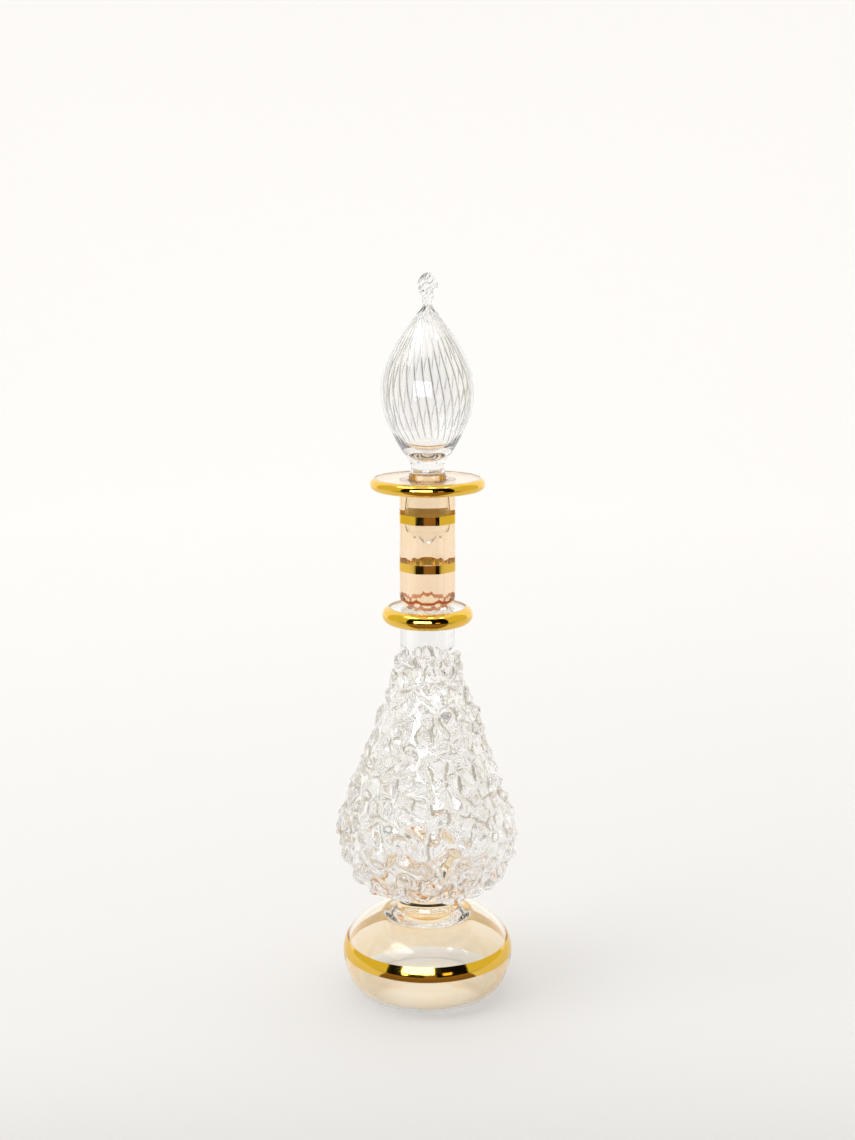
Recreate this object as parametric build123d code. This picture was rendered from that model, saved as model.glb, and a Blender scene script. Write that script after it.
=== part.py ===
"""Lampworked glass perfume bottle with a hollow blown stopper.

Frame: +Z up, millimetres, origin at the centre of the foot's flat base.
Each glass or gilded piece is one node. Fused pieces meet face to face.
"""

from build123d import *
import os
import random
from math import cos, pi, sin

os.makedirs("parts", exist_ok=True)

# Heights above the table, from the base up
FOOT_BELLY_Z = 10.2
FOOT_TOP_Z = 21.7
FLASK_BASE_Z = 27.6
FLASK_BELLY_Z = 40.5
THROAT_BASE_Z = 88.5
COLLAR_BASE_Z = 95.5
NECK_BASE_Z = 99.5
NECK_BAND_Z = {"neck_band_lower": 108.8, "neck_band_upper": 120.6}
FLANGE_BASE_Z = 128.4
MOUTH_BASE_Z = 131.2
MOUTH_TOP_Z = 132.6
BULB_BASE_Z = 135.5
BULB_BELLY_Z = 151.5
FINIAL_BASE_Z = 172.2
TOTAL_HEIGHT = 180.0

# Foot: a flattened hollow globe standing on a ground flat
FOOT_R = 21.4
FOOT_BASE_R = 15.6
FOOT_BELLY_ARC_R = 8.0
FOOT_BELLY_CENTRE = (FOOT_R - FOOT_BELLY_ARC_R, FOOT_BELLY_Z)
BELLY_BELOW = 10
BELLY_ABOVE = 33
FOOT_BAND_ANGLES = (3, 29)
FOOT_WALL = 1.7
FOOT_FLOOR = 3.2
FOOT_HOLE_R = 5.0

# Stem between foot and flask
STEM_BASE_R = 8.0
STEM_WAIST_R = 6.9
STEM_TOP_R = 8.6

# Flask, neck and rings, all on one bore
FLASK_R = 21.1
FLASK_WALL = 2.0
BORE_R = 3.45
THROAT_R = 6.7
NECK_ACROSS_FLATS = 13.6
NECK_FOOT_R = 5.4
NECK_ROUNDING = 4.2
NECK_BAND_WIDTH = 2.1
COLLAR_R = 11.05
FLANGE_R = 13.9
MOUTH_BASE_R = 5.1
MOUTH_TOP_R = 4.1
GILDING = 0.1
RIM_GILDING_REACH = 80

# Crushed glass melted on to the flask
CHIP_PITCH = 4.3
CHIP_R = 1.95
CHIP_HEIGHT = (1.15, 1.45)
CHIP_SUNK = 0.3
CHIP_TAPER = 14
CHIP_CORNERS = 5
FRIT_SEED = 7
FRIT_BANDS = {
    "frit_base": (0.06, 0.25),
    "frit_belly": (0.25, 0.44),
    "frit_waist": (0.44, 0.62),
    "frit_upper": (0.62, 0.80),
    "frit_shoulder": (0.80, 0.985),
}

# Stopper: plug, throat, hollow bulb and finial
SEAT_GAP = 0.05
PLUG_TIP_Z = 115.4
PLUG_TIP_R = 2.5
PLUG_SHANK_R = 3.4
STOPPER_THROAT_R = 4.1
BULB_BASE_R = 4.4
BULB_R = 11.4
BULB_WALL = 0.9
BULB_HOLE_R = 2.6
FINIAL_BASE_R = 1.15
FINIAL_R = 2.4


def turned(edges):
    """Solid of revolution about Z from edges drawn as (radius, height)."""
    return revolve(Plane.XZ * make_face(edges), Axis.Z)


def closed_by(curve, *corners):
    """The curve with straight lines from its end through the corners to its start."""
    return curve + Polyline(curve @ 1, *corners, curve @ 0)


def bored(solid, low, high):
    """The solid with the common bore cut between two heights."""
    bore = Cylinder(BORE_R, high - low, align=(Align.CENTER, Align.CENTER, Align.MIN))
    return solid - Pos(0, 0, low) * bore


def foot_bulb():
    """Hollow globe, open at the top where the stem closes it."""
    belly = CenterArc(
        FOOT_BELLY_CENTRE, FOOT_BELLY_ARC_R, -BELLY_BELOW, BELLY_BELOW + BELLY_ABOVE
    )
    heel = Spline((FOOT_BASE_R, 0), belly @ 0, tangents=((1, 0.32), belly % 0))
    dome = Spline(belly @ 1, (STEM_BASE_R, FOOT_TOP_Z), tangents=(belly % 1, (-1, 0.16)))
    inner_r = FOOT_R - FOOT_WALL
    cavity_low = Spline(
        (0, FOOT_FLOOR),
        (FOOT_BASE_R - FOOT_WALL, FOOT_FLOOR + 0.9),
        (inner_r, FOOT_BELLY_Z),
        tangents=((1, 0), (0, 1)),
    )
    roof_z = FOOT_TOP_Z - FOOT_WALL
    cavity_high = Spline(
        cavity_low @ 1,
        (FOOT_HOLE_R, roof_z),
        tangents=((0, 1), (-1, 0.12)),
        tangent_scalars=(1.1, 1.1),
    )
    hole = Polyline(cavity_high @ 1, (FOOT_HOLE_R, FOOT_TOP_Z), dome @ 1)
    base = Polyline(cavity_low @ 0, (0, 0), heel @ 0)
    return turned(heel + belly + dome + cavity_low + cavity_high + hole + base)


def foot_gold_band():
    """Gilded skin round the foot's belly."""
    return arc_skin(FOOT_BELLY_CENTRE, FOOT_BELLY_ARC_R, *FOOT_BAND_ANGLES)


def foot_stem():
    """Solid waisted stem that joins the foot to the flask."""
    waist_z = (FOOT_TOP_Z + FLASK_BASE_Z) / 2
    waist = ThreePointArc(
        (STEM_BASE_R, FOOT_TOP_Z), (STEM_WAIST_R, waist_z), (STEM_TOP_R, FLASK_BASE_Z)
    )
    return turned(closed_by(waist, (0, FLASK_BASE_Z), (0, FOOT_TOP_Z)))


def flask_outline():
    """Outer profile of the flask wall, from the stem up to the throat."""
    return Spline(
        (STEM_TOP_R, FLASK_BASE_Z),
        (17.2, 31.2),
        (FLASK_R, FLASK_BELLY_Z),
        (18.4, 52.5),
        (14.5, 63.5),
        (10.9, 74.5),
        (7.7, 83.5),
        (THROAT_R, THROAT_BASE_Z),
        tangents=((1, 0.2), (0, 1)),
    )


def flask_bulb():
    """Blown flask with a thick base, open into the bore at the top."""
    cavity = Spline(
        (0, FLASK_BASE_Z + 2.8),
        (14.2, 32.8),
        (FLASK_R - FLASK_WALL, FLASK_BELLY_Z + 0.6),
        (16.4, 52.0),
        (12.5, 63.0),
        (8.8, 74.0),
        (5.2, 82.6),
        (BORE_R, THROAT_BASE_Z),
        tangents=((1, 0), (0, 1)),
    )
    rim = Line(cavity @ 1, (THROAT_R, THROAT_BASE_Z))
    base = Polyline((STEM_TOP_R, FLASK_BASE_Z), (0, FLASK_BASE_Z), cavity @ 0)
    return turned(flask_outline() + cavity + rim + base)


def glass_chip(rng):
    """One angular chip, lying on the XY plane with its top face smaller."""
    turn = rng.uniform(0, 2 * pi)
    corners = []
    for index in range(CHIP_CORNERS):
        angle = turn + 2 * pi * (index + rng.uniform(-0.22, 0.22)) / CHIP_CORNERS
        reach = CHIP_R * rng.uniform(0.78, 1.0)
        corners.append((reach * cos(angle), reach * sin(angle)))
    height = rng.uniform(*CHIP_HEIGHT) + CHIP_SUNK
    return extrude(make_face(Polyline(*corners, close=True)), height, taper=CHIP_TAPER)


def frit_band(start, end, rng):
    """Rings of chips on the flask between two shares of its outline's length."""
    outline = flask_outline()
    rows = round(outline.length * (end - start) / CHIP_PITCH)
    chips = []
    for row in range(rows):
        share = start + (end - start) * (row + 0.5) / rows
        point = outline @ share
        along = outline % share
        count = int(2 * pi * point.X / CHIP_PITCH)
        offset = 0.5 * (row % 2)
        for place in range(count):
            angle = 2 * pi * (place + offset) / count
            around = Vector(-sin(angle), cos(angle), 0)
            outward = Vector(along.Y * cos(angle), along.Y * sin(angle), -along.X)
            seat = Vector(point.X * cos(angle), point.X * sin(angle), point.Y)
            plane = Plane(seat - outward * CHIP_SUNK, x_dir=around, z_dir=outward)
            chips.append(plane * glass_chip(rng))
    return Compound(children=[chip.solid() for chip in chips])


def throat_tube():
    """Clear tube between the flask and the collar."""
    height = COLLAR_BASE_Z - THROAT_BASE_Z
    tube = Cylinder(THROAT_R, height, align=(Align.CENTER, Align.CENTER, Align.MIN))
    return bored(Pos(0, 0, THROAT_BASE_Z) * tube, THROAT_BASE_Z, COLLAR_BASE_Z)


def round_rim_disc(radius, low, high):
    """Bored disc whose rim is a half circle."""
    half = (high - low) / 2
    rim = CenterArc((radius - half, low + half), half, -90, 180)
    disc = turned(closed_by(rim, (0, high), (0, low)))
    return bored(disc, low, high)


def arc_skin(centre, radius, start, end):
    """Gilded skin on a turned surface whose profile is an arc, between two angles."""
    inner = CenterArc(centre, radius, start, end - start)
    outer = CenterArc(centre, radius + GILDING, start, end - start)
    ends = Line(inner @ 0, outer @ 0) + Line(inner @ 1, outer @ 1)
    return turned(inner + outer + ends)


def rim_gilding(radius, low, high):
    """Gilded skin round a half-circle rim."""
    half = (high - low) / 2
    return arc_skin((radius - half, low + half), half, -RIM_GILDING_REACH, RIM_GILDING_REACH)


def octagon_prism(across_flats, low, high):
    """Upright octagonal prism with one flat facing the front."""
    apothem = across_flats / 2
    face = RegularPolygon(apothem, 8, major_radius=False, rotation=180 / 8)
    return Pos(0, 0, low) * extrude(face, high - low)


def neck_tube():
    """Octagonal neck, rounded in where it meets the collar."""
    prism = octagon_prism(NECK_ACROSS_FLATS, NECK_BASE_Z, FLANGE_BASE_Z)
    corner_r = NECK_ACROSS_FLATS / 2 / cos(pi / 8)
    shoulder_z = NECK_BASE_Z + NECK_ROUNDING
    rounding = Spline(
        (NECK_FOOT_R, NECK_BASE_Z),
        (corner_r + GILDING, shoulder_z + 1.0),
        tangents=((0.75, 1), (0, 1)),
    )
    side = Line(rounding @ 1, (corner_r + GILDING, FLANGE_BASE_Z))
    ends = Polyline(side @ 1, (0, FLANGE_BASE_Z), (0, NECK_BASE_Z), rounding @ 0)
    bullet = turned(rounding + side + ends)
    return bored(prism & bullet, NECK_BASE_Z, FLANGE_BASE_Z)


def neck_band(low):
    """Gilded band painted round the eight flats of the neck."""
    high = low + NECK_BAND_WIDTH
    outer = octagon_prism(NECK_ACROSS_FLATS + 2 * GILDING, low, high)
    return outer - octagon_prism(NECK_ACROSS_FLATS, low, high)


def mouth_ring():
    """Raised conical lip that the stopper sits on."""
    cone = turned(
        Polyline(
            (BORE_R, MOUTH_BASE_Z),
            (MOUTH_BASE_R, MOUTH_BASE_Z),
            (MOUTH_TOP_R, MOUTH_TOP_Z),
            (BORE_R, MOUTH_TOP_Z),
            close=True,
        )
    )
    return cone


def stopper_plug():
    """Ground plug, tapering from a close fit in the mouth to a rounded tip."""
    top_z = MOUTH_TOP_Z + SEAT_GAP
    shank = Line((PLUG_SHANK_R, top_z), (PLUG_SHANK_R, MOUTH_BASE_Z))
    taper = Line(shank @ 1, (PLUG_TIP_R, PLUG_TIP_Z + 1.2))
    tip = RadiusArc(taper @ 1, (PLUG_TIP_R - 1.2, PLUG_TIP_Z), 1.4)
    ends = Polyline(tip @ 1, (0, PLUG_TIP_Z), (0, top_z), shank @ 0)
    return turned(shank + taper + tip + ends)


def stopper_throat():
    """Solid waist between the plug and the hollow bulb."""
    low = MOUTH_TOP_Z + SEAT_GAP
    side = ThreePointArc(
        (STOPPER_THROAT_R, low), (STOPPER_THROAT_R - 0.05, 134.0), (BULB_BASE_R, BULB_BASE_Z)
    )
    return turned(closed_by(side, (0, BULB_BASE_Z), (0, low)))


def stopper_bulb():
    """Thin blown onion, closed below by the throat and above by the finial."""
    outer = Spline(
        (BULB_BASE_R, BULB_BASE_Z),
        (8.0, 141.3),
        (BULB_R, BULB_BELLY_Z),
        (8.5, 161.6),
        (3.6, 168.8),
        (FINIAL_BASE_R, FINIAL_BASE_Z),
        tangents=((0.5, 1), (-0.25, 1)),
    )
    inner = Spline(
        (BULB_HOLE_R, BULB_BASE_Z),
        (7.0, 141.6),
        (BULB_R - BULB_WALL, BULB_BELLY_Z),
        (7.5, 161.3),
        (0, 168.6),
        tangents=((1, 0.7), (-1, 0.35)),
    )
    top = Polyline(inner @ 1, (0, FINIAL_BASE_Z), outer @ 1)
    return turned(outer + inner + Line(inner @ 0, outer @ 0) + top)


def stopper_finial():
    """Solid drop drawn out on top of the bulb."""
    side = Spline(
        (FINIAL_BASE_R, FINIAL_BASE_Z),
        (1.45, 174.1),
        (FINIAL_R, 177.3),
        (0, TOTAL_HEIGHT),
        tangents=((-0.1, 1), (-1, 0)),
    )
    return turned(side + Polyline(side @ 1, (0, FINIAL_BASE_Z), side @ 0))


def write(shape, node):
    export_step(shape, f"parts/{node}.step")


def main():
    write(foot_bulb(), "foot_bulb")
    write(foot_gold_band(), "foot_gold_band")
    write(foot_stem(), "foot_stem")
    write(flask_bulb(), "flask_bulb")
    rng = random.Random(FRIT_SEED)
    for node, (start, end) in FRIT_BANDS.items():
        write(frit_band(start, end, rng), node)
    write(throat_tube(), "throat_tube")
    write(round_rim_disc(COLLAR_R, COLLAR_BASE_Z, NECK_BASE_Z), "collar_ring")
    write(rim_gilding(COLLAR_R, COLLAR_BASE_Z, NECK_BASE_Z), "collar_gilding")
    write(neck_tube(), "neck_tube")
    for node, low in NECK_BAND_Z.items():
        write(neck_band(low), node)
    write(round_rim_disc(FLANGE_R, FLANGE_BASE_Z, MOUTH_BASE_Z), "lip_flange")
    write(rim_gilding(FLANGE_R, FLANGE_BASE_Z, MOUTH_BASE_Z), "flange_gilding")
    write(mouth_ring(), "mouth_ring")
    write(stopper_plug(), "stopper_plug")
    write(stopper_throat(), "stopper_throat")
    write(stopper_bulb(), "stopper_bulb")
    write(stopper_finial(), "stopper_finial")


main()
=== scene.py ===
"""Looks of a lampworked glass perfume bottle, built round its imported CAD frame.

Every glass piece is a closed mesh, in metres. Where two pieces are fused, both meet in a
"fused" face that light crosses without bending, so the joined glass reads as one.
"""

import math

import bpy
import numpy as np
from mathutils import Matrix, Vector


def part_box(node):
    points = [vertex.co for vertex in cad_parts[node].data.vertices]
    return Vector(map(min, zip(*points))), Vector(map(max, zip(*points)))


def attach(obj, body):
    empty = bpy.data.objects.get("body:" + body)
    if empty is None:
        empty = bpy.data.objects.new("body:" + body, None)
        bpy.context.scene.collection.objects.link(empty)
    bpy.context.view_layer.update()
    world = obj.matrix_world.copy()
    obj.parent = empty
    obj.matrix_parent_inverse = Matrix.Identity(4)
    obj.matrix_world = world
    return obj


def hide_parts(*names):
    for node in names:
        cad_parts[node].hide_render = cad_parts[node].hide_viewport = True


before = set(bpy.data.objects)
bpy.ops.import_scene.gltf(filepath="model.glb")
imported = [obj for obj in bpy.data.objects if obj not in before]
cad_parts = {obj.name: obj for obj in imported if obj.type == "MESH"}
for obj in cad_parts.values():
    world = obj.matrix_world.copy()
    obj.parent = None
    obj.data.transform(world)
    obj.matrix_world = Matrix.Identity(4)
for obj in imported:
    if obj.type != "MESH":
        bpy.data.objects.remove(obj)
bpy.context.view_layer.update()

MM = 0.001
TAU = 2 * math.pi


def low(node):
    """Height of a CAD node's underside."""
    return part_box(node)[0].z


def high(node):
    """Height of a CAD node's top."""
    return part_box(node)[1].z


def radius(node):
    """Half of a CAD node's width."""
    lowest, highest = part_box(node)
    return (highest.x - lowest.x) / 2


# Places read from the frame
HEIGHT = high("stopper_finial")
STEM_Z = low("foot_stem")
FLASK_Z = low("flask_bulb")
THROAT_Z = low("throat_tube")
COLLAR_Z = low("collar_ring")
NECK_Z = low("neck_tube")
FLANGE_Z = low("lip_flange")
MOUTH_Z = low("mouth_ring")
SEAT_Z = low("stopper_throat")
BULB_Z = low("stopper_bulb")
FINIAL_Z = low("stopper_finial")

# Radii and thicknesses that a box doesn't give
BORE_R = 3.45 * MM
GILDING = 0.07 * MM
SEAM = 0.02 * MM
NECK_FOOT_R = 5.4 * MM
STEM_FOOT_R = 8.0 * MM
STEM_WAIST_R = 6.9 * MM
STEM_TOP_R = 8.6 * MM
MOUTH_BASE_R = 5.1 * MM
MOUTH_TOP_R = 4.1 * MM
FINIAL_BASE_R = 1.15 * MM
SEGMENTS = 256
ON_AXIS = 1e-7
SAME_PLACE = 1e-8
SHARP_ANGLE = 38


# Outlines: lists of (radius, height) ------------------------------------------------


def smooth(points, start=None, end=None, step=0.25 * MM):
    """Points along a cubic curve through the given ones, with optional end directions."""
    knots = np.array(points, float)
    chord = np.linalg.norm(np.diff(knots, axis=0), axis=1)
    place = np.concatenate([[0], np.cumsum(chord)])
    slope = np.gradient(knots, place, axis=0)
    if start is not None:
        slope[0] = np.array(start) / np.linalg.norm(start)
    if end is not None:
        slope[-1] = np.array(end) / np.linalg.norm(end)
    made = []
    for i, length in enumerate(chord):
        t = np.linspace(0, 1, max(2, round(length / step)), endpoint=False)[:, None]
        made.append(
            (2 * t**3 - 3 * t**2 + 1) * knots[i]
            + (t**3 - 2 * t**2 + t) * length * slope[i]
            + (3 * t**2 - 2 * t**3) * knots[i + 1]
            + (t**3 - t**2) * length * slope[i + 1]
        )
    return np.vstack([*made, knots[-1:]])


def arc(centre, size, start, end, step=4):
    """Points along an arc, with angles in degrees from the outward direction."""
    count = max(3, round(abs(end - start) / step) + 1)
    angle = np.radians(np.linspace(start, end, count))
    return np.stack([centre[0] + size * np.cos(angle), centre[1] + size * np.sin(angle)], 1)


def line(a, b, count=2):
    """Points along a straight line."""
    return np.linspace(a, b, count)


def outward(outline):
    """Unit normals on the right-hand side of an outline's direction."""
    along = np.gradient(outline, axis=0)
    along /= np.linalg.norm(along, axis=1)[:, None]
    return np.stack([along[:, 1], -along[:, 0]], 1)


def mean_step(outline):
    """Mean distance between an outline's points."""
    return np.linalg.norm(np.diff(outline, axis=0), axis=1).mean()


# Meshes -----------------------------------------------------------------------------


def ring(size, height, segments=SEGMENTS):
    """One level ring of points, or a single point on the axis."""
    if size < ON_AXIS:
        return np.array([[0, 0, height]])
    angle = TAU * np.arange(segments) / segments
    return np.stack([size * np.cos(angle), size * np.sin(angle), np.full(segments, height)], 1)


def same_ring(a, b):
    """True for two rings at the same place."""
    return len(a) == len(b) and np.abs(a - b).max() < SAME_PLACE


def turned(runs, segments=SEGMENTS, shape=None):
    """A closed shell from runs of (outline, material), as rings with a material each."""
    rows = []
    for outline, material in runs:
        for r, z in outline:
            plain = shape is None or r < ON_AXIS
            row = ring(r, z, segments) if plain else shape(r, z, segments)
            if rows and same_ring(rows[-1][0], row):
                rows[-1] = (row, material)
            else:
                rows.append((row, material))
    return rows


def mesh_of(name, shells):
    """A mesh from shells of (ring, material number of the strip that starts there)."""
    points, faces, numbers = [], [], []
    base = 0
    for rows in shells:
        closed = len(rows[0][0]) > 1
        if closed and same_ring(rows[0][0], rows[-1][0]):
            rows = rows[:-1]
        starts = base + np.concatenate([[0], np.cumsum([len(row) for row, _ in rows])])
        count = len(rows) if closed else len(rows) - 1
        for i in range(count):
            k = (i + 1) % len(rows)
            here, there = len(rows[i][0]), len(rows[k][0])
            n = max(here, there)
            j = np.arange(n)
            following = (j + 1) % n
            a = starts[i] + j if here > 1 else np.full(n, starts[i])
            b = starts[i] + following if here > 1 else None
            c = starts[k] + following if there > 1 else None
            d = starts[k] + j if there > 1 else np.full(n, starts[k])
            corners = [x for x in (a, b, c, d) if x is not None]
            faces.extend(np.stack(corners, 1).tolist())
            numbers.append(np.broadcast_to(rows[i][1], n))
        points.append(np.vstack([row for row, _ in rows]))
        base = starts[-1]
    mesh = bpy.data.meshes.new(name)
    mesh.from_pydata(np.vstack(points).tolist(), [], faces)
    mesh.polygons.foreach_set("material_index", np.concatenate(numbers).astype(np.int32))
    mesh.polygons.foreach_set("use_smooth", np.ones(len(faces), bool))
    mesh.update()
    mesh.set_sharp_from_angle(angle=math.radians(SHARP_ANGLE))
    return mesh


def piece(name, shells, materials, body, slot, *nodes):
    """Puts a mesh in the scene, on a body, in place of CAD nodes."""
    made = bpy.data.objects.new(name, mesh_of(name, shells))
    bpy.context.scene.collection.objects.link(made)
    for material in materials:
        made.data.materials.append(material)
    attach(made, body)
    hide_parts(*nodes)


# Materials --------------------------------------------------------------------------

# Waves of a surface: the noise's scale, and how deep they are
FINE_WAVES = (300, 0.010 * MM)
CRUST_WAVES = (700, 0.010 * MM)
LUSTRE_WAVES = (220, 0.012 * MM)
EMBER_WAVES = (500, 0.012 * MM)
GOLD_WAVES = (260, 0.02 * MM)

# Lustre spots lie where noise goes past an edge, which it does more often lower down
SPOTS_TOP_Z = FLASK_Z + 5.5 * MM
SPOT_SCALE = 520
SPOT_EDGE = (0.81, 0.85)
SPOT_GAIN = 0.32


def new_material(name):
    """A material, its nodes, its links and its shader."""
    material = bpy.data.materials.new(name)
    material.use_nodes = True
    nodes = material.node_tree.nodes
    return material, nodes, material.node_tree.links, nodes["Principled BSDF"]


def noise(nodes, links, scale, detail):
    """Value of a noise texture in the piece's own metres."""
    place = nodes.new("ShaderNodeTexCoord")
    made = nodes.new("ShaderNodeTexNoise")
    made.inputs["Scale"].default_value = scale
    made.inputs["Detail"].default_value = detail
    links.new(place.outputs["Object"], made.inputs["Vector"])
    return made.outputs["Fac"]


def ramp(nodes, links, value, first, second, start=0.0, end=1.0):
    """Colour that runs from first to second while a value goes from start to end."""
    made = nodes.new("ShaderNodeValToRGB")
    made.color_ramp.elements[0].color = (*first, 1)
    made.color_ramp.elements[1].color = (*second, 1)
    made.color_ramp.elements[0].position = start
    made.color_ramp.elements[1].position = end
    links.new(value, made.inputs["Fac"])
    return made.outputs["Color"]


def map_range(nodes, links, value, source, target=(0.0, 1.0), smoothed=False):
    """A value taken from one range to another, and clamped."""
    made = nodes.new("ShaderNodeMapRange")
    if smoothed:
        made.interpolation_type = "SMOOTHSTEP"
    made.inputs["From Min"].default_value = source[0]
    made.inputs["From Max"].default_value = source[1]
    made.inputs["To Min"].default_value = target[0]
    made.inputs["To Max"].default_value = target[1]
    links.new(value, made.inputs["Value"])
    return made.outputs["Result"]


def math_node(nodes, links, operation, a, b):
    """Output of a math node fed by two sockets."""
    made = nodes.new("ShaderNodeMath")
    made.operation = operation
    links.new(a, made.inputs[0])
    links.new(b, made.inputs[1])
    return made.outputs["Value"]


def object_place(nodes, links):
    """The piece's own coordinates, whole and split."""
    place = nodes.new("ShaderNodeTexCoord")
    split = nodes.new("ShaderNodeSeparateXYZ")
    links.new(place.outputs["Object"], split.inputs["Vector"])
    return place.outputs["Object"], split.outputs


def ripple(nodes, links, shader, waves):
    """Gives a shader the shallow waves of a hand-worked surface."""
    scale, depth = waves
    bump = nodes.new("ShaderNodeBump")
    bump.inputs["Strength"].default_value = 1.0
    bump.inputs["Distance"].default_value = depth
    links.new(noise(nodes, links, scale, 1), bump.inputs["Height"])
    links.new(bump.outputs["Normal"], shader.inputs["Normal"])


def glass(name, tint, deeper, waves):
    """Clear or lustred glass with a hand-worked ripple and a faint drift of colour."""
    material, nodes, links, shader = new_material(name)
    shader.inputs["Transmission Weight"].default_value = 1.0
    shader.inputs["IOR"].default_value = 1.5
    shader.inputs["Roughness"].default_value = 0.0
    drift = noise(nodes, links, 90, 2)
    links.new(ramp(nodes, links, drift, tint, deeper, 0.3, 0.7), shader.inputs["Base Color"])
    ripple(nodes, links, shader, waves)
    return material


def lustre_spots(material, top, bottom):
    """Adds amber-red lustre spots to a glass, thicker towards its lower edge."""
    nodes, links = material.node_tree.nodes, material.node_tree.links
    shader = nodes["Principled BSDF"]
    plain = shader.inputs["Base Color"].links[0].from_socket
    _, split = object_place(nodes, links)
    near = map_range(nodes, links, split["Z"], (top, bottom), (0.0, SPOT_GAIN))
    level = math_node(nodes, links, "ADD", noise(nodes, links, SPOT_SCALE, 2), near)
    spots = map_range(nodes, links, level, SPOT_EDGE)
    red = ramp(nodes, links, noise(nodes, links, 900, 1), (0.42, 0.03, 0.003), (0.80, 0.28, 0.03))
    mixed = nodes.new("ShaderNodeMix")
    mixed.data_type = "RGBA"
    links.new(spots, mixed.inputs[0])
    links.new(plain, mixed.inputs[6])
    links.new(red, mixed.inputs[7])
    links.new(mixed.outputs[2], shader.inputs["Base Color"])


def gilding():
    """Fired bright gold: a mirror with a soft waviness and faint wear."""
    material, nodes, links, shader = new_material("fired_gold")
    shader.inputs["Metallic"].default_value = 1.0
    gold = ramp(nodes, links, noise(nodes, links, 420, 3), (0.80, 0.50, 0.07), (0.86, 0.56, 0.10))
    links.new(gold, shader.inputs["Base Color"])
    wear = map_range(nodes, links, noise(nodes, links, 1600, 4), (0.0, 1.0), (0.03, 0.13))
    links.new(wear, shader.inputs["Roughness"])
    ripple(nodes, links, shader, GOLD_WAVES)
    return material


def fused():
    """The face where two fused pieces meet: nothing to see there."""
    material, _, _, shader = new_material("fused_joint")
    shader.inputs["Alpha"].default_value = 0.0
    shader.inputs["Roughness"].default_value = 1.0
    return material


CLEAR = glass("clear_glass", (1, 1, 1), (0.985, 0.99, 0.985), FINE_WAVES)
# The rib glass is grey painted shade on the stopper bulb's inner ribs, in place of the dark lines
# that refraction draws there
RIB_PAINTED_SHADE = glass("rib_painted_shade_glass", (0.50, 0.48, 0.46), (0.34, 0.32, 0.30), FINE_WAVES)
FRIT = glass("crushed_glass", (1, 1, 1), (0.99, 0.985, 0.975), CRUST_WAVES)
FRIT_BASE = glass("crushed_glass_foot", (1, 1, 1), (0.99, 0.985, 0.975), CRUST_WAVES)
# Darker glass for the folds between chips: painted shade in the creases
FOLD_PAINTED_SHADE = glass("crushed_glass_fold_painted_shade", (0.56, 0.52, 0.44), (0.34, 0.30, 0.23), CRUST_WAVES)
lustre_spots(FRIT_BASE, SPOTS_TOP_Z, FLASK_Z)
PEACH = glass("peach_glass", (1.0, 0.82, 0.62), (1.0, 0.76, 0.50), LUSTRE_WAVES)
PALE_PEACH = glass("pale_peach_glass", (1.0, 0.95, 0.86), (1.0, 0.91, 0.77), LUSTRE_WAVES)
WARM_PEACH = glass("warm_peach_glass", (1.0, 0.80, 0.54), (1.0, 0.74, 0.43), LUSTRE_WAVES)
AMBER = glass("amber_glass", (1.0, 0.84, 0.58), (1.0, 0.76, 0.46), LUSTRE_WAVES)
EMBER = glass("ember_lustre", (0.50, 0.10, 0.015), (0.24, 0.03, 0.01), EMBER_WAVES)
GOLD = gilding()
FUSED = fused()

# Places in a piece's list of materials
SKIN, JOINT, INSIDE, LUSTRE, AMBER_ARCH = 0, 1, 2, 3, 4
# Slot of the darker painted shade in the crust's folds
IN_FOLD_SHADE = 2
# Slot of the grey painted shade on the bulb's ribs
ON_RIB_SHADE = 2


# Foot and stem ----------------------------------------------------------------------

FOOT_BASE_R = 15.6 * MM
BELLY_ARC_R = 8.0 * MM
BELLY_ANGLES = (-10, 33)
BAND_ANGLES = (3, 29)
BELLY_CENTRE = (radius("foot_bulb") - BELLY_ARC_R, 10.2 * MM)
BASE_RING_Z = 2.2 * MM
DOME_EDGE = (10.2 * MM, 21.0 * MM)
FOOT_WALL = 1.2 * MM
CAVITY_TOP_Z = 20.9 * MM
RING_OUT_R = 11.4 * MM
ARCH_R = 7.6 * MM
ARCH = [(0, STEM_Z - 0.2 * MM), (3.9 * MM, 20.9 * MM), (6.4 * MM, 19.6 * MM)]
RING_UNDER = [(8.0 * MM, 19.4 * MM), (9.6 * MM, 19.5 * MM)]


def foot_outline():
    """Base, heel, belly arc and dome, up to the stem."""
    side = arc(BELLY_CENTRE, BELLY_ARC_R, *BELLY_ANGLES)
    push_up = smooth([(0, 0.5 * MM), (9 * MM, 0.35 * MM), (FOOT_BASE_R, 0)], (1, 0), (1, -0.05))
    heel = smooth([(FOOT_BASE_R, 0), side[0]], (1, 0.32), side[1] - side[0])
    dome = smooth([side[-1], DOME_EDGE], side[-1] - side[-2], (-1, 0.12))
    flare = smooth([dome[-1], (STEM_FOOT_R, STEM_Z)], (-1, 0.12), (-1, 0.85))
    return np.vstack([push_up, heel[1:], side[1:], dome[1:], flare[1:]])


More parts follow.
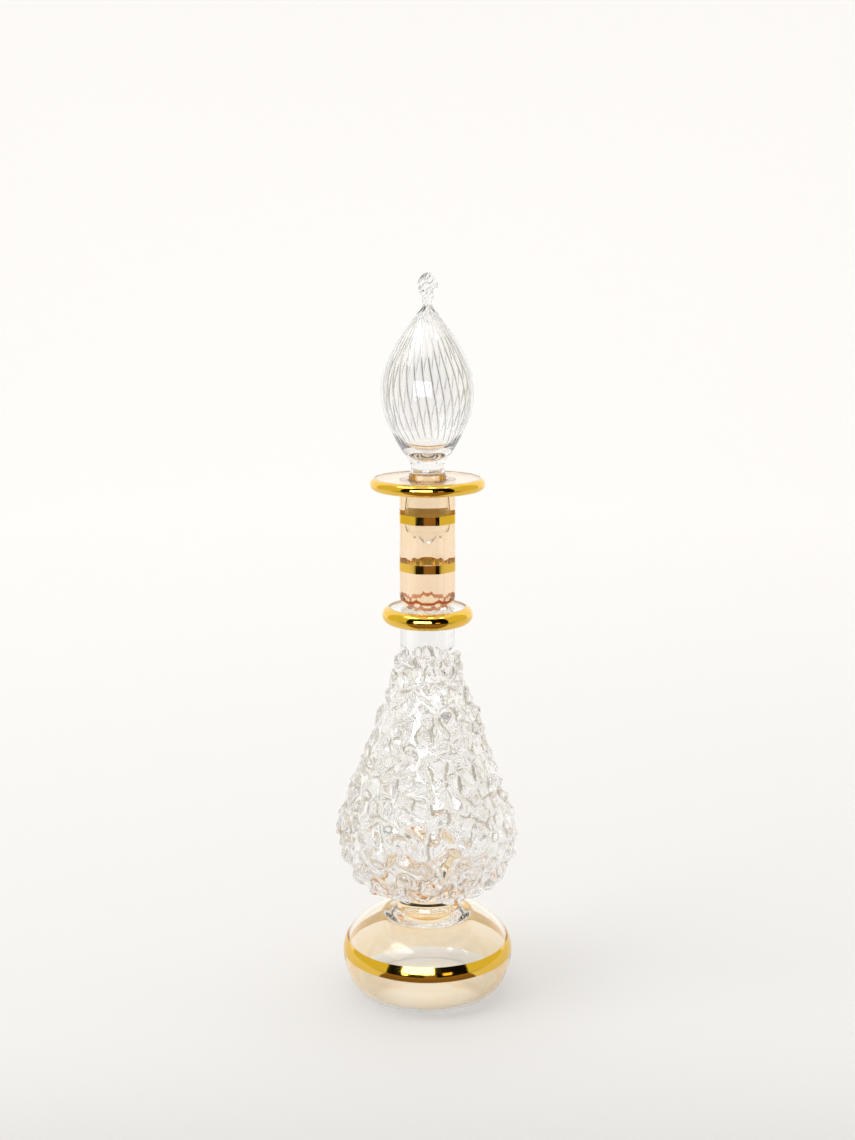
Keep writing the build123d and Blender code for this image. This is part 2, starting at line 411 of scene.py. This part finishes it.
def foot_cavity():
    """Inside of the foot: a bubble under the stem in a ring of thick glass, then an even wall."""
    outer = foot_outline()
    outer = outer[outer[:, 1] < CAVITY_TOP_Z]
    outer = outer[: np.argmax(outer[:, 1]) + 1]
    inner = outer - FOOT_WALL * outward(outer)
    # Where the base turns sharply, the offset crosses itself, and its loop is left out
    gap = np.linalg.norm(inner[:, None] - outer[None], axis=2).min(axis=1)
    inner = inner[(gap > 0.985 * FOOT_WALL) & (inner[:, 0] > 0.5 * MM)][::-1]
    inner = inner[inner[:, 0] > RING_OUT_R]
    bubble = smooth([*ARCH, *RING_UNDER, inner[0]], (1, 0), inner[1] - inner[0])
    return np.vstack([bubble, inner[1:], [(0, inner[-1, 1])]])


def stem_outline():
    """Waisted side of the stem, from the foot up to the flask."""
    waist_z = (STEM_Z + FLASK_Z) / 2
    return smooth(
        [(STEM_FOOT_R, STEM_Z), (STEM_WAIST_R, waist_z), (STEM_TOP_R, FLASK_Z)],
        (-1, 0.85),
        (0.9, 1),
    )


def make_foot():
    """Hollow foot: clear underside, warm lustre up to the gold band, pale lustre above it."""
    outer = foot_outline()
    lustred = np.argmax(outer[:, 1] > BASE_RING_Z)
    band = np.argmax(outer[:, 1] > low("foot_gold_band"))
    cavity = foot_cavity()
    arch_end = np.argmax(cavity[:, 0] > ARCH_R)
    shells = [
        turned(
            [
                (outer[: lustred + 1], INSIDE),
                (outer[lustred : band + 1], LUSTRE),
                (outer[band:], SKIN),
                (line(outer[-1], (0, STEM_Z)), JOINT),
            ]
        ),
        turned([(cavity[: arch_end + 1], AMBER_ARCH), (cavity[arch_end:], INSIDE)]),
    ]
    materials = [PALE_PEACH, FUSED, CLEAR, WARM_PEACH, AMBER]
    piece("foot_bulb_glass", shells, materials, "bottle", "peach_glass", "foot_bulb")


def make_stem():
    """Solid stem, fused to the foot and the flask."""
    side = stem_outline()
    runs = [
        (line((0, STEM_Z), side[0]), JOINT),
        (side, SKIN),
        (line(side[-1], (0, side[-1, 1])), JOINT),
    ]
    materials = [AMBER, FUSED]
    piece("foot_stem_glass", [turned(runs)], materials, "bottle", "amber_glass", "foot_stem")


# Flask and its crushed-glass crust --------------------------------------------------

FLASK_KNOTS = [
    (STEM_TOP_R, FLASK_Z),
    (17.2 * MM, 31.2 * MM),
    (21.1 * MM, 40.5 * MM),
    (18.4 * MM, 52.5 * MM),
    (14.5 * MM, 63.5 * MM),
    (10.9 * MM, 74.5 * MM),
    (7.7 * MM, 83.5 * MM),
    (6.7 * MM, THROAT_Z),
]
FLASK_STEP = 0.6 * MM
CRUST_STEP = 0.24 * MM
CRUST_SEGMENTS = 560
CRUST_SUNK = 0.5 * MM
CRUST_TAPER = 0.8 * MM
MELT = 0.28 * MM
STEEPEST = 60
# Folds deeper than this, over this reach, get painted shade
CREASE_REACH = 0.55 * MM
CREASE_DEPTH = 0.15 * MM

# Chips: sizes and thicknesses in millimetres, then shares of a chip's size, and slopes
CHIP_SEED = 7
CHIP_SPACING = 3.3 * MM
TRIES_PER_CHIP = 12
CHIP_SIZES = (2.2, 3.9)
CHIP_THICKNESSES = (0.7, 2.1)
CHIP_REACHES = (0.4, 1.0)
CHIP_MARGIN = 1.3
CHIP_TILT = 0.42
CHIP_STEEPNESS = (0.6, 2.0)
CHIP_FACETS = (4, 7)
FACET_SHIFT = 0.3
LOW_SHARE = 0.4
LOW_GAIN = 1.15

# Where each band of the crust ends, as a share of the way up the flask
BANDS = {
    "frit_base": 0.25,
    "frit_belly": 0.44,
    "frit_waist": 0.62,
    "frit_upper": 0.80,
    "frit_shoulder": 1.0,
}


def flask_outline(step=CRUST_STEP):
    """Outside of the flask, from the stem up to the throat."""
    return smooth(FLASK_KNOTS, (1, 0.2), (0, 1), step)


def flask_cavity():
    """Inside of the flask, from the bore down to the thick base."""
    knots = [
        (BORE_R, THROAT_Z),
        (5.2 * MM, 82.6 * MM),
        (8.8 * MM, 74.0 * MM),
        (12.5 * MM, 63.0 * MM),
        (16.4 * MM, 52.0 * MM),
        (19.1 * MM, 41.1 * MM),
        (14.2 * MM, 32.8 * MM),
        (0, 30.4 * MM),
    ]
    return smooth(knots, (0, -1), (-1, 0), FLASK_STEP)


def scatter(outline, rng):
    """Chip places as (row along the outline, angle), spread evenly over the surface."""
    area_share = outline[:, 0] / outline[:, 0].sum()
    total_area = TAU * outline[:, 0].sum() * mean_step(outline)
    tries = int(total_area / CHIP_SPACING**2 * TRIES_PER_CHIP)
    rows = rng.choice(len(outline), tries, p=area_share)
    angles = rng.uniform(0, TAU, tries)
    spots = np.stack(
        [
            outline[rows, 0] * np.cos(angles),
            outline[rows, 0] * np.sin(angles),
            outline[rows, 1],
        ],
        1,
    )
    kept = []
    for i, spot in enumerate(spots):
        if not kept or np.min(np.sum((spots[kept] - spot) ** 2, axis=1)) > CHIP_SPACING**2:
            kept.append(i)
    return rows[kept], angles[kept]


def random_chip(rng, gain):
    """A chip's size, and its weight at points (x, y) round its middle.

    The weight is the exponential of the chip's height in melts, so that its sloping top and
    its sides, and then all the chips together, join softly when weights are added.
    """
    size = rng.uniform(*CHIP_SIZES) * MM * gain
    thick = rng.uniform(*CHIP_THICKNESSES) * MM
    tilt = rng.uniform(-CHIP_TILT, CHIP_TILT, 2)
    facets = rng.integers(*CHIP_FACETS)
    turn = rng.uniform(0, TAU)
    shift = rng.uniform(-FACET_SHIFT, FACET_SHIFT, facets)
    bearings = turn + TAU * (np.arange(facets) + shift) / facets
    reaches = size * rng.uniform(*CHIP_REACHES, facets)
    slopes = rng.uniform(*CHIP_STEEPNESS, facets)

    def weight(x, y):
        shape = np.exp(-(thick + tilt[0] * x + tilt[1] * y) / MELT)
        for bearing, reach, slope in zip(bearings, reaches, slopes):
            side = (reach - x * math.cos(bearing) - y * math.sin(bearing)) * slope
            shape = shape + np.exp(np.clip(-side / MELT, -STEEPEST, STEEPEST))
        return 1 / shape

    return size, weight


def chip_relief(outline, angle):
    """Height of the melted chips over the flask, for each point of each ring."""
    rng = np.random.default_rng(CHIP_SEED)
    count, step = len(outline), mean_step(outline)
    total = np.ones((count, CRUST_SEGMENTS))
    for row, turn in zip(*scatter(outline, rng)):
        size, weight = random_chip(rng, LOW_GAIN if row / count < LOW_SHARE else 1.0)
        span = int(size * CHIP_MARGIN / step) + 1
        rows = np.arange(max(0, row - span), min(count, row + span + 1))
        width = size * CHIP_MARGIN / max(outline[row, 0], 1 * MM)
        first, last = (int((turn + way * width) / TAU * CRUST_SEGMENTS) for way in (-1, 1))
        columns = np.arange(first, last + 1) % CRUST_SEGMENTS
        x = (angle[columns] - turn + math.pi) % TAU - math.pi
        x = outline[rows, 0][:, None] * x[None, :]
        y = ((rows - row) * step)[:, None]
        total[np.ix_(rows, columns)] += weight(x, y)
    relief = MELT * np.log(total)
    ends = np.minimum(np.arange(count), np.arange(count)[::-1]) * step
    relief *= np.clip(ends / CRUST_TAPER, 0, 1)[:, None]
    relief[0] = 0
    relief[-1] = 0
    return relief


def crust():
    """Rings of the crust's outer surface, the flask's outline, and the folds between chips, which
    get painted shade.
    """
    outline = flask_outline()
    angle = TAU * np.arange(CRUST_SEGMENTS) / CRUST_SEGMENTS
    relief = chip_relief(outline, angle)
    away = outward(outline)
    size = outline[:, :1] + away[:, :1] * relief
    height = outline[:, 1:] + away[:, 1:] * relief
    surface = np.stack([size * np.cos(angle), size * np.sin(angle), height], 2)
    return surface, outline, creases(relief, outline)


def creases(relief, outline):
    """True for each face that lies in a fold between chips, where shade is painted."""
    up = round(CREASE_REACH / mean_step(outline))
    around = np.zeros_like(relief)
    for i, (r, _) in enumerate(outline):
        turn = max(1, round(CREASE_REACH / (TAU * r / CRUST_SEGMENTS)))
        around[i] = (np.roll(relief[i], turn) + np.roll(relief[i], -turn)) / 2
    along = relief.copy()
    along[up:-up] = (relief[2 * up :] + relief[: -2 * up]) / 2
    return np.maximum(around, along) - relief > CREASE_DEPTH


def make_flask():
    """Hollow flask, whose whole outside is fused to the crust."""
    outer = flask_outline(FLASK_STEP)
    cavity = flask_cavity()
    runs = [
        (line((0, FLASK_Z), outer[0]), JOINT),
        (outer, JOINT),
        (cavity, SKIN),
    ]
    piece("flask_bulb_glass", [turned(runs)], [CLEAR, FUSED], "bottle", "clear_glass", "flask_bulb")


def make_crust():
    """Five bands of crust, each with its inner face sunk into the flask."""
    surface, outline, folds = crust()
    sunk = outline - np.array([CRUST_SUNK, 0])
    first = 0
    for node, share in BANDS.items():
        last = min(len(outline) - 1, int(share * len(outline)))
        # Faces in folds between chips take the darker glass, painted shade
        rows = [(surface[i], np.where(folds[i], IN_FOLD_SHADE, SKIN)) for i in range(first, last)]
        rows.append((surface[last], JOINT))
        for i in (last, *range(last - 4, first, -4), first):
            rows.append((ring(*sunk[i], CRUST_SEGMENTS), JOINT))
        rows.append((surface[first], JOINT))
        skin = FRIT_BASE if node == "frit_base" else FRIT
        piece(node + "_glass", [rows], [skin, FUSED, FOLD_PAINTED_SHADE], "bottle", "crushed_glass", node)
        first = last


# Throat, collar, neck, flange and mouth ---------------------------------------------

NECK_SHARPNESS = 60
SIDE_SWELL = 0.17
NECK_FOOT_H = 5.0 * MM
NECK_CORNER_R = radius("neck_tube") / math.cos(math.pi / 8)
LUSTRE_GAP = (-0.42 * MM, 0.02 * MM)
GILT_ANGLE = 78


def octagon(size, segments):
    """Radii of an octagon with softened corners and faintly swollen sides, and their angles."""
    angle = TAU * np.arange(segments) / segments
    off = angle[:, None] - TAU * np.arange(8) / 8
    flats = np.where(np.cos(off) > 0, np.cos(off) + SIDE_SWELL * np.sin(off) ** 2, 0)
    edge = np.sum((flats / size) ** NECK_SHARPNESS, axis=1) ** (-1 / NECK_SHARPNESS)
    return edge, angle


def neck_ring(size, height, segments):
    """Neck ring: the octagon cut by the rounded foot of radius size."""
    edge, angle = octagon(radius("neck_tube"), segments)
    r = (edge**-NECK_SHARPNESS + float(size) ** -NECK_SHARPNESS) ** (-1 / NECK_SHARPNESS)
    return np.stack([r * np.cos(angle), r * np.sin(angle), np.full(segments, height)], 1)


def neck_skin(size):
    """Material of each face of a neck ring: lustre pools where facet and foot meet."""
    edge, _ = octagon(radius("neck_tube"), SEGMENTS)
    gap = size - edge
    return np.where((gap > LUSTRE_GAP[0]) & (gap < LUSTRE_GAP[1]), LUSTRE, SKIN)


def make_throat():
    """Clear tube between the flask and the collar."""
    size = radius("throat_tube")
    runs = [
        (line((BORE_R, THROAT_Z), (size, THROAT_Z)), JOINT),
        (line((size, THROAT_Z), (size, COLLAR_Z), 12), SKIN),
        (line((size, COLLAR_Z), (BORE_R, COLLAR_Z)), JOINT),
        (line((BORE_R, COLLAR_Z), (BORE_R, THROAT_Z), 12), SKIN),
    ]
    shells = [turned(runs)]
    piece("throat_tube_glass", shells, [CLEAR, FUSED], "bottle", "clear_glass", "throat_tube")


def rim_disc(node, below_r, above_r, skin_material, slot):
    """Ring with a half-round rim, fused to a tube below and above."""
    size, bottom, top = radius(node), low(node), high(node)
    half = (top - bottom) / 2
    rim = arc((size - half, bottom + half), half, -90, 90)
    runs = [
        (line((BORE_R, bottom), (below_r, bottom)), JOINT),
        (line((below_r, bottom), rim[0], 8), SKIN),
        (rim, SKIN),
        (line(rim[-1], (above_r, top), 8), SKIN),
        (line((above_r, top), (BORE_R, top)), JOINT),
        (line((BORE_R, top), (BORE_R, bottom), 6), SKIN),
    ]
    piece(node + "_glass", [turned(runs)], [skin_material, FUSED], "bottle", slot, node)


def rim_gilding(node, disc):
    """Gold skin round a half-round rim."""
    size, bottom, top = radius(disc), low(disc), high(disc)
    half = (top - bottom) / 2
    centre = (size - half, bottom + half)
    outer = arc(centre, half + GILDING, -GILT_ANGLE, GILT_ANGLE)
    gold_skin(node, outer, arc(centre, half - SEAM, GILT_ANGLE, -GILT_ANGLE))


def gold_skin(node, outer, inner):
    """Thin turned skin of gold, sunk a hair into the glass."""
    runs = [(outer, SKIN), (inner, SKIN), (outer[:1], SKIN)]
    piece(node + "_gold", [turned(runs)], [GOLD], "bottle", "gilding", node)


def make_neck():
    """Octagonal neck that runs out into a round foot, with a round bore."""
    # The foot's curve goes on past the corners, where the octagon alone shapes the neck
    wide_r = NECK_CORNER_R * 1.3
    foot_top = (NECK_CORNER_R * 1.04, NECK_Z + NECK_FOOT_H)
    rounded = smooth([(NECK_FOOT_R, NECK_Z), foot_top], (0.75, 1), (0, 1))
    above = line(rounded[-1], (wide_r, NECK_Z + NECK_FOOT_H + 1.0 * MM), 4)
    side = line(above[-1], (wide_r, FLANGE_Z), 24)
    outer = np.vstack([rounded, above[1:], side[1:]])
    rows = [(neck_ring(r, z, SEGMENTS), neck_skin(r)) for r, z in outer]
    rows[-1] = (rows[-1][0], JOINT)
    rows += turned([(line((BORE_R, FLANGE_Z), (BORE_R, NECK_Z), 40), INSIDE)])
    rows[-1] = (rows[-1][0], JOINT)
    rows.append((rows[0][0], SKIN))
    materials = [PEACH, FUSED, CLEAR, EMBER]
    piece("neck_tube_glass", [rows], materials, "bottle", "peach_glass", "neck_tube")


def make_neck_band(node):
    """Gold skin round the octagonal neck."""
    bottom, top = low(node), high(node)
    apothem = radius("neck_tube")

    def row(extra, z):
        edge, angle = octagon(apothem + extra, SEGMENTS)
        return np.stack([edge * np.cos(angle), edge * np.sin(angle), np.full(SEGMENTS, z)], 1)

    rows = [(row(GILDING, bottom), SKIN), (row(GILDING, top), SKIN), (row(-SEAM, top), SKIN)]
    rows += [(row(-SEAM, bottom), SKIN), (row(GILDING, bottom), SKIN)]
    piece(node + "_gold", [rows], [GOLD], "bottle", "gilding", node)


def make_mouth():
    """Low conical ring on the lip, which the stopper sits on."""
    top = high("mouth_ring")
    side = smooth([(MOUTH_BASE_R, MOUTH_Z), (MOUTH_TOP_R, top)], (-0.6, 1), (-0.5, 1))
    runs = [
        (line((BORE_R, MOUTH_Z), (MOUTH_BASE_R, MOUTH_Z)), JOINT),
        (side, SKIN),
        (line((MOUTH_TOP_R, top), (BORE_R, top)), SKIN),
        (line((BORE_R, top), (BORE_R, MOUTH_Z), 4), SKIN),
    ]
    shells = [turned(runs)]
    piece("mouth_ring_glass", shells, [CLEAR, FUSED], "bottle", "clear_glass", "mouth_ring")


def make_foot_band():
    """Gold skin round the foot's belly."""
    outer = arc(BELLY_CENTRE, BELLY_ARC_R + GILDING, *BAND_ANGLES)
    inner = arc(BELLY_CENTRE, BELLY_ARC_R - SEAM, *BAND_ANGLES[::-1])
    gold_skin("foot_gold_band", outer, inner)


# Stopper ----------------------------------------------------------------------------

PLUG_R = 3.4 * MM
BULB_STEP = 0.4 * MM
CAVITY_STEP = 0.52 * MM
RIBS = 32
RIB_POINTS = 26
RIB_DEPTH = 0.26 * MM
RIB_WIDTH = 0.14 * MM
RIB_LEAN = 0.55
RIB_START = 0.13
RIB_FADE = 0.10
# Below this height, rib crests past this share of a rib's height get grey painted shade
RIB_SHADE_TOP_Z = 165.0 * MM
RIB_SHADE_FROM = 0.45
STRANDS = 9
STRAND_DEPTH = 0.22
STRAND_RUN = 5 * MM
FINIAL_TWIST = 2.4
FINIAL_SEGMENTS = 144

# Thickness of the bulb's wall, and radii and heights of its side, in millimetres
BULB_WALL = 0.85
BULB_PROFILE = [
    (8.4, 141.8),
    (10.5, 146.3),
    (11.4, 151.5),
    (10.9, 155.9),
    (8.55, 161.6),
    (5.45, 166.5),
    (2.75, 170.0),
]


def make_plug():
    """Ground plug that hangs in the neck, and its shank through the mouth."""
    tip = low("stopper_plug")
    rounded = [(0, tip), (1.6 * MM, tip + 0.2 * MM), (2.5 * MM, tip + 1.2 * MM)]
    side = smooth([*rounded, (3.35 * MM, MOUTH_Z - 0.5 * MM)], (1, 0), (0.055, 1))
    shank = line((PLUG_R, MOUTH_Z), (PLUG_R, SEAT_Z), 4)
    shells = [turned([(side, SKIN), (shank, SKIN), (line((PLUG_R, SEAT_Z), (0, SEAT_Z)), JOINT)])]
    piece("stopper_plug_glass", shells, [CLEAR, FUSED], "stopper", "clear_glass", "stopper_plug")


def bulb_outline():
    """Outside of the bulb, from the throat to the finial."""
    knots = [(4.4 * MM, BULB_Z)]
    knots += [(r * MM, z * MM) for r, z in BULB_PROFILE]
    knots += [(FINIAL_BASE_R, FINIAL_Z)]
    return smooth(knots, (0.9, 1), (-0.25, 1), BULB_STEP)


def bulb_cavity():
    """Inside of the bulb, from its tip down to its rounded floor."""
    knots = [(0, 171.9 * MM), (0.5 * MM, 171.4 * MM), (2.0 * MM, 169.6 * MM)]
    knots += [((r - BULB_WALL) * MM, z * MM) for r, z in BULB_PROFILE[-2::-1]]
    knots += [(3.6 * MM, 137.6 * MM), (0, 136.4 * MM)]
    return smooth(knots, (0.4, -1), (-1, 0), CAVITY_STEP)


def rib_wave(r, z, segments):
    """Share of a rib's height at each point of a ring: leaning, and fading at the foot."""
    angle = TAU * np.arange(segments) / segments
    share = (z - BULB_Z) / (FINIAL_Z - BULB_Z)
    lean = RIB_LEAN * (1 - share) ** 1.3
    across = ((angle - lean) * RIBS / TAU % 1.0 - 0.5) * TAU * r / RIBS
    fade = np.clip((share - RIB_START) / RIB_FADE, 0, 1)
    return np.exp(-((across / RIB_WIDTH) ** 2)) * fade


def ribbed_ring(r, z, segments):
    """Ring of the bulb's inside, with ribs standing inwards, and each face's material: grey painted
    shade on the rib crests.
    """
    angle = TAU * np.arange(segments) / segments
    wave = rib_wave(r, z, segments)
    size = r - RIB_DEPTH * wave * min(1, r / (5 * MM))
    points = np.stack([size * np.cos(angle), size * np.sin(angle), np.full(segments, z)], 1)
    # Grey painted shade on the rib crests
    grey = (wave > RIB_SHADE_FROM) & (z < RIB_SHADE_TOP_Z)
    return points, np.where(grey, ON_RIB_SHADE, SKIN)


def make_bulb():
    """Blown bulb, drawn into strands at its tip, with leaning ribs on its inner wall, whose crests
    carry grey painted shade.
    """
    outer, cavity = bulb_outline(), bulb_cavity()
    segments = RIBS * RIB_POINTS
    under = line((0, BULB_Z), outer[0])
    over = line(outer[-1], (0, FINIAL_Z))
    runs = [(under, JOINT), (outer, SKIN), (over, JOINT)]
    shell = turned(runs, SEGMENTS, twisted)
    inside = [(ring(*cavity[0]), SKIN)]
    inside += [ribbed_ring(r, z, segments) for r, z in cavity[1:-1]]
    inside.append((ring(*cavity[-1]), SKIN))
    materials = [CLEAR, FUSED, RIB_PAINTED_SHADE]
    shells = [shell, inside]
    piece("stopper_bulb_glass", shells, materials, "stopper", "clear_glass", "stopper_bulb")


def make_stopper_throat():
    """Solid waist between the plug and the bulb."""
    size = radius("stopper_throat")
    side = smooth([(4.1 * MM, SEAT_Z), (4.05 * MM, 134.0 * MM), (size, BULB_Z)], (0, 1), (0.5, 1))
    runs = [
        (line((0, SEAT_Z), (PLUG_R, SEAT_Z)), JOINT),
        (line((PLUG_R, SEAT_Z), side[0]), SKIN),
        (side, SKIN),
        (line(side[-1], (0, BULB_Z)), JOINT),
    ]
    materials = [CLEAR, FUSED]
    shells = [turned(runs)]
    piece("stopper_throat_glass", shells, materials, "stopper", "clear_glass", "stopper_throat")


def twisted(r, z, segments):
    """Ring drawn into twisted strands, from the bulb's tip up through the finial."""
    angle = TAU * np.arange(segments) / segments
    share = (z - FINIAL_Z) / (HEIGHT - FINIAL_Z)
    wave = np.abs(np.cos(STRANDS / 2 * (angle - FINIAL_TWIST * share)))
    fade = np.clip(1 + (z - FINIAL_Z) / STRAND_RUN, 0, 1) * (1 - max(0, share) ** 4)
    size = r * (1 - STRAND_DEPTH * (1 - wave) * fade)
    return np.stack([size * np.cos(angle), size * np.sin(angle), np.full(segments, z)], 1)


def make_finial():
    """Solid drop of twisted strands on top of the bulb."""
    side = smooth(
        [(FINIAL_BASE_R, FINIAL_Z), (1.45 * MM, 174.1 * MM), (2.4 * MM, 177.3 * MM), (0, HEIGHT)],
        (-0.1, 1),
        (-1, 0),
        0.12 * MM,
    )
    runs = [(line((0, FINIAL_Z), side[0]), JOINT), (side, SKIN)]
    shells = [turned(runs, FINIAL_SEGMENTS, twisted)]
    materials = [CLEAR, FUSED]
    piece("stopper_finial_glass", shells, materials, "stopper", "clear_glass", "stopper_finial")


# Stage, lights and camera -----------------------------------------------------------

FLOOR_R = 0.75
SWEEP_R = 0.4
SWEEP_TOP_Z = 1.4
# Paper: painted shade in front, a painted glow that rises towards the back, and a painted pool of
# light under the foot
FRONT_FADE_Y = (-0.26, -0.02)
GLOW_Y = (-0.3, 1.1)
GLOW = (0.36, 0.54)
FRONT_GLOW_SHARE = 0.32
UNDER_FOOT_R = (0.019, 0.008)
UNDER_FOOT_GLOW = 0.34
WORLD_STRENGTH = 1.07
CARD_POINTS = 25
KEY_PLACE = (-0.55, -0.25, 0.85)
KEY_TARGET = (0, 0, 0.08)
KEY_SIZE = (0.5, 0.5)
KEY_POWER = 2.5
CAMERA_BACK = 2.189 * HEIGHT
CAMERA_UP = 1.0444 * HEIGHT
CAMERA_DIP = 11.4
LENS = 52.1


def paper():
    """Matte card with a painted glow: white behind and beside the bottle, grey painted shade in
    front of it, and a painted pool of light under the foot.
    """
    material, nodes, links, shader = new_material("paper")
    shader.inputs["Roughness"].default_value = 0.9
    shader.inputs["Specular IOR Level"].default_value = 0.1
    place, split = object_place(nodes, links)
    whole = map_range(nodes, links, split["Y"], FRONT_FADE_Y, smoothed=True)
    # Grey in front of the bottle is painted shade; white behind and beside it
    grey, white = (0.20, 0.198, 0.195), (0.52, 0.51, 0.50)
    links.new(ramp(nodes, links, whole, grey, white), shader.inputs["Base Color"])
    # Painted glow, rising towards the back and weaker in front
    glow = map_range(nodes, links, split["Y"], GLOW_Y, GLOW)
    share = map_range(nodes, links, whole, (0.0, 1.0), (FRONT_GLOW_SHARE, 1.0))
    faded = math_node(nodes, links, "MULTIPLY", glow, share)
    # A painted pool of light on the floor under the foot, in place of light the glass would focus
    # there
    reach = nodes.new("ShaderNodeVectorMath")
    reach.operation = "LENGTH"
    links.new(place, reach.inputs[0])
    painted_light_pool = map_range(nodes, links, reach.outputs["Value"], UNDER_FOOT_R, (0.0, UNDER_FOOT_GLOW))
    shader.inputs["Emission Color"].default_value = (1.0, 0.985, 0.96, 1)
    links.new(math_node(nodes, links, "ADD", faded, painted_light_pool), shader.inputs["Emission Strength"])
    return material


def make_stage():
    """A round paper sweep: a floor that turns up into a wall."""
    wall_r = FLOOR_R + SWEEP_R
    outline = np.vstack(
        [
            line((0, 0), (FLOOR_R, 0), 8),
            arc((FLOOR_R, SWEEP_R), SWEEP_R, -90, 0, 6),
            line((wall_r, SWEEP_R), (wall_r, SWEEP_TOP_Z), 4),
        ]
    )
    mesh = mesh_of("paper_sweep", [turned([(outline, SKIN)], 128)])
    made = bpy.data.objects.new("paper_sweep", mesh)
    bpy.context.scene.collection.objects.link(made)
    made.data.materials.append(paper())


def make_world():
    """Even, faintly warm light from all round."""
    world = bpy.data.worlds.new("studio")
    bpy.context.scene.world = world
    world.use_nodes = True
    shade = world.node_tree.nodes["Background"]
    shade.inputs["Color"].default_value = (1.0, 0.995, 0.985, 1)
    shade.inputs["Strength"].default_value = WORLD_STRENGTH


def softbox(name, place, target, size, power):
    """Rectangular area light that faces a target."""
    data = bpy.data.lights.new(name, "AREA")
    data.shape = "RECTANGLE"
    data.size, data.size_y = size
    data.energy = power
    made = bpy.data.objects.new(name, data)
    made.location = place
    aim = Vector(target) - made.location
    made.rotation_euler = aim.to_track_quat("-Z", "Y").to_euler()
    bpy.context.scene.collection.objects.link(made)


def card(name, shade, bearings, near, far):
    """Curved card between two (distance, height) edges, seen only by mirror reflections.

    Bearings are degrees about the bottle, with 0 straight in front of it.
    """
    turn = np.radians(np.linspace(*bearings, CARD_POINTS) - 90)
    rows = [
        np.stack([reach * np.cos(turn), reach * np.sin(turn), np.full(CARD_POINTS, z)], 1)
        for reach, z in (near, far)
    ]
    faces = [(i, i + 1, i + 1 + CARD_POINTS, i + CARD_POINTS) for i in range(CARD_POINTS - 1)]
    mesh = bpy.data.meshes.new(name)
    mesh.from_pydata(np.vstack(rows).tolist(), [], faces)
    material, _, _, shader = new_material(name)
    shader.inputs["Base Color"].default_value = (0, 0, 0, 1)
    shader.inputs["Specular IOR Level"].default_value = 0.0
    shader.inputs["Emission Color"].default_value = (*shade, 1)
    shader.inputs["Emission Strength"].default_value = 1.0
    mesh.materials.append(material)
    made = bpy.data.objects.new(name, mesh)
    made.visible_camera = False
    made.visible_diffuse = False
    made.visible_transmission = False
    made.visible_shadow = False
    bpy.context.scene.collection.objects.link(made)


def make_cards():
    """The room that the gold and the glass mirror."""
    card("dark_room", (0.004, 0.004, 0.005), (-54, 54), (0.60, 0.0), (0.60, 0.95))
    card("left_wall", (0.80, 0.76, 0.30), (-118, -54), (0.62, 0.0), (0.62, 0.9))
    card("right_wall", (0.82, 0.77, 0.30), (54, 118), (0.62, 0.0), (0.62, 0.9))
    card("back_wall", (1.15, 1.15, 1.15), (118, 242), (0.64, 0.0), (0.64, 0.9))
    card("window", (8.0, 8.2, 9.0), (-34, 9), (0.57, 0.10), (0.57, 0.33))
    card("window_sill", (6.0, 6.1, 6.6), (-33, -25), (0.57, 0.04), (0.57, 0.07))
    card("lamp", (1.6, 1.1, 0.4), (20, 31), (0.57, 0.05), (0.57, 0.13))
    card("ceiling_lamp", (10, 10, 10), (8, 42), (0.14, 1.2), (0.32, 1.2))
    card("side_lamp", (7, 7, 7), (52, 66), (0.40, 0.9), (0.50, 0.9))
    card("back_lamp", (8, 8, 8), (168, 188), (0.55, 0.8), (0.75, 0.8))
    card("table_mid", (0.32, 0.20, 0.08), (-54, 54), (0.11, 0.001), (0.37, 0.001))
    card("doorway", (0.30, 0.17, 0.10), (-5, 12), (0.58, 0.0), (0.58, 0.09))
    card("table_far", (0.01, 0.008, 0.006), (-54, 54), (0.38, 0.001), (0.60, 0.001))
    card("threshold", (0.30, 0.17, 0.10), (-5, 12), (0.37, 0.0015), (0.58, 0.0015))
    card("table_near", (0.24, 0.15, 0.09), (-54, 54), (0.027, 0.001), (0.11, 0.001))


def make_camera():
    """Camera that looks a little down, as the photograph does."""
    data = bpy.data.cameras.new("camera")
    data.sensor_width = 36
    data.lens = LENS
    data.clip_start = 0.01
    made = bpy.data.objects.new("camera", data)
    made.location = (0, -CAMERA_BACK, CAMERA_UP)
    made.rotation_euler = (math.radians(90 - CAMERA_DIP), 0, 0)
    bpy.context.scene.collection.objects.link(made)
    bpy.context.scene.camera = made


def set_light_paths():
    """Plain view transform, and bounces enough for light to cross crust, flask and crust."""
    settings = bpy.context.scene
    settings.view_settings.view_transform = "Standard"
    settings.cycles.max_bounces = 40
    settings.cycles.transmission_bounces = 40
    settings.cycles.glossy_bounces = 12
    settings.cycles.transparent_max_bounces = 64


def main():
    make_camera()
    make_world()
    softbox("key", KEY_PLACE, KEY_TARGET, KEY_SIZE, KEY_POWER)
    make_stage()
    make_cards()
    make_foot()
    make_foot_band()
    make_stem()
    make_flask()
    make_crust()
    make_throat()
    rim_disc("collar_ring", radius("throat_tube"), NECK_FOOT_R, CLEAR, "clear_glass")
    rim_gilding("collar_gilding", "collar_ring")
    make_neck()
    make_neck_band("neck_band_lower")
    make_neck_band("neck_band_upper")
    rim_disc("lip_flange", radius("neck_tube"), MOUTH_BASE_R, PEACH, "peach_glass")
    rim_gilding("flange_gilding", "lip_flange")
    make_mouth()
    make_plug()
    make_stopper_throat()
    make_bulb()
    make_finial()
    set_light_paths()


main()
